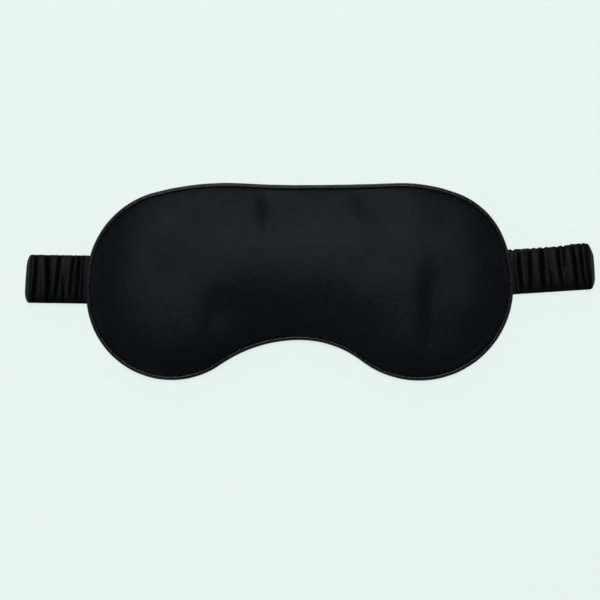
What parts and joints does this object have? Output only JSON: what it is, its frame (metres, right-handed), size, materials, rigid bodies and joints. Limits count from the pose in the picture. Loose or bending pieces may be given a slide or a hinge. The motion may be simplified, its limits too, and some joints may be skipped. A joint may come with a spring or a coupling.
{
  "type": "sleep eye mask",
  "caption": "Padded satin sleep mask with a piped edge and a gathered elastic head strap; the mask folds at the nose and the strap loop opens.",
  "frame": {"origin": "on the nose line, on the underside of the strap that passes behind the mask, where the part rests on a table", "axes": "+X towards the right as seen from the front face, +Y towards the mask's top edge, +Z out of the front face"},
  "size_m": [0.282, 0.0976, 0.0118],
  "materials": {
    "satin": "black satin with a soft sheen and a fine crosswise weave",
    "piping_satin": "black satin bias strip rolled round a cord",
    "gathered_satin": "black satin tube gathered into close crosswise ruches",
    "blackout_lining": "dense matte black cloth",
    "padding": "soft fibre padding",
    "cord": "spun cotton cord",
    "thread": "grey-black sewing thread",
    "elastic": "flat woven elastic"
  },
  "bodies": {
    "strap_back_left": {"cover_back_left": "gathered_satin", "elastic_back_left": "elastic"},
    "strap_back_middle": {"cover_back_middle": "gathered_satin", "elastic_back_middle": "elastic"},
    "left_run": {"cover_left_run": "gathered_satin", "elastic_left_run": "elastic"},
    "left_fold": {"cover_left_fold": "gathered_satin", "elastic_left_fold": "elastic"},
    "left_tab_outer": {"cover_left_tab_outer": "gathered_satin", "elastic_left_tab_outer": "elastic"},
    "left_tab_inner": {"cover_left_tab_inner": "gathered_satin", "elastic_left_tab_inner": "elastic"},
    "left_wing": {"left_front_panel": "satin", "left_lining": "blackout_lining", "left_padding": "padding", "left_back_panel": "satin", "left_piping_cover": "piping_satin", "left_piping_cord": "cord", "left_seam_thread": "thread"},
    "right_wing": {"right_front_panel": "satin", "right_lining": "blackout_lining", "right_padding": "padding", "right_back_panel": "satin", "right_piping_cover": "piping_satin", "right_piping_cord": "cord", "right_seam_thread": "thread"},
    "right_tab_inner": {"cover_right_tab_inner": "gathered_satin", "elastic_right_tab_inner": "elastic"},
    "right_tab_outer": {"cover_right_tab_outer": "gathered_satin", "elastic_right_tab_outer": "elastic"},
    "right_fold": {"cover_right_fold": "gathered_satin", "elastic_right_fold": "elastic"},
    "right_run": {"cover_right_run": "gathered_satin", "elastic_right_run": "elastic"},
    "strap_back_right": {"cover_back_right": "gathered_satin", "elastic_back_right": "elastic"}
  },
  "joints": [
    {"name": "left_rise", "type": "hinge", "parent": "strap_back_left", "child": "left_run", "pos_m": [-0.045, 0.00053, 0.0031], "axis": [0.014, 0.9999, 0], "range_deg": [0, 53.77]},
    {"name": "loop_open", "type": "slide", "parent": "left_run", "child": "left_fold", "axis": [-0.9999, 0.014, 0], "range_m": [0, 0.012]},
    {"name": "left_fold_open", "type": "hinge", "parent": "left_fold", "child": "left_tab_outer", "pos_m": [-0.13544, 0.00179, 0.0031], "axis": [-0.014, -0.9999, 0], "range_deg": [0, 143.77]},
    {"name": "left_tab_stretch", "type": "slide", "parent": "left_tab_outer", "child": "left_tab_inner", "axis": [0.9999, -0.014, 0], "range_m": [0, 0.012]},
    {"name": "left_seam_turn", "type": "hinge", "parent": "left_tab_inner", "child": "left_wing", "pos_m": [-0.10559, 0.00137, 0.00315], "axis": [0.014, 0.9999, 0], "range_deg": [0, 90]},
    {"name": "nose_fold", "type": "hinge", "parent": "left_wing", "child": "right_wing", "pos_m": [0, 0, 0.01195], "axis": [0, 1, 0], "range_deg": [-170, 0]},
    {"name": "middle_fold", "type": "hinge", "parent": "strap_back_left", "child": "strap_back_middle", "pos_m": [0, 0, 0.01195], "axis": [0, 1, 0], "range_deg": [-170, 0]},
    {"name": "right_seam_turn", "type": "hinge", "parent": "right_wing", "child": "right_tab_inner", "pos_m": [0.10553, 0.00478, 0.00315], "axis": [-0.0637, 0.998, 0], "range_deg": [0, 77.54]},
    {"name": "right_tab_stretch", "type": "slide", "parent": "right_tab_inner", "child": "right_tab_outer", "axis": [0.998, 0.0637, 0], "range_m": [0, 0.012]},
    {"name": "right_fold_open", "type": "hinge", "parent": "right_tab_outer", "child": "right_fold", "pos_m": [0.14582, 0.00735, 0.0031], "axis": [0.0637, -0.998, 0], "range_deg": [0, 136.1]},
    {"name": "right_run_stretch", "type": "slide", "parent": "right_fold", "child": "right_run", "axis": [-0.998, -0.0637, 0], "range_m": [0, 0.012]},
    {"name": "right_rise", "type": "hinge", "parent": "right_run", "child": "strap_back_right", "pos_m": [0.072, 0.00264, 0.0031], "axis": [-0.0637, 0.998, 0], "range_deg": [0, 58.56]}
  ],
  "couplings": [
    {"joint": "left_rise", "follows": "loop_open", "rad_per_m": 78.206},
    {"joint": "left_fold_open", "follows": "loop_open", "rad_per_m": 209.11},
    {"joint": "left_tab_stretch", "follows": "loop_open", "ratio": 1},
    {"joint": "left_seam_turn", "follows": "loop_open", "rad_per_m": 130.9},
    {"joint": "right_seam_turn", "follows": "loop_open", "rad_per_m": 112.78},
    {"joint": "right_tab_stretch", "follows": "loop_open", "ratio": 1},
    {"joint": "right_fold_open", "follows": "loop_open", "rad_per_m": 197.94},
    {"joint": "right_run_stretch", "follows": "loop_open", "ratio": 1},
    {"joint": "right_rise", "follows": "loop_open", "rad_per_m": 85.164},
    {"joint": "middle_fold", "follows": "nose_fold", "ratio": 1}
  ]
}
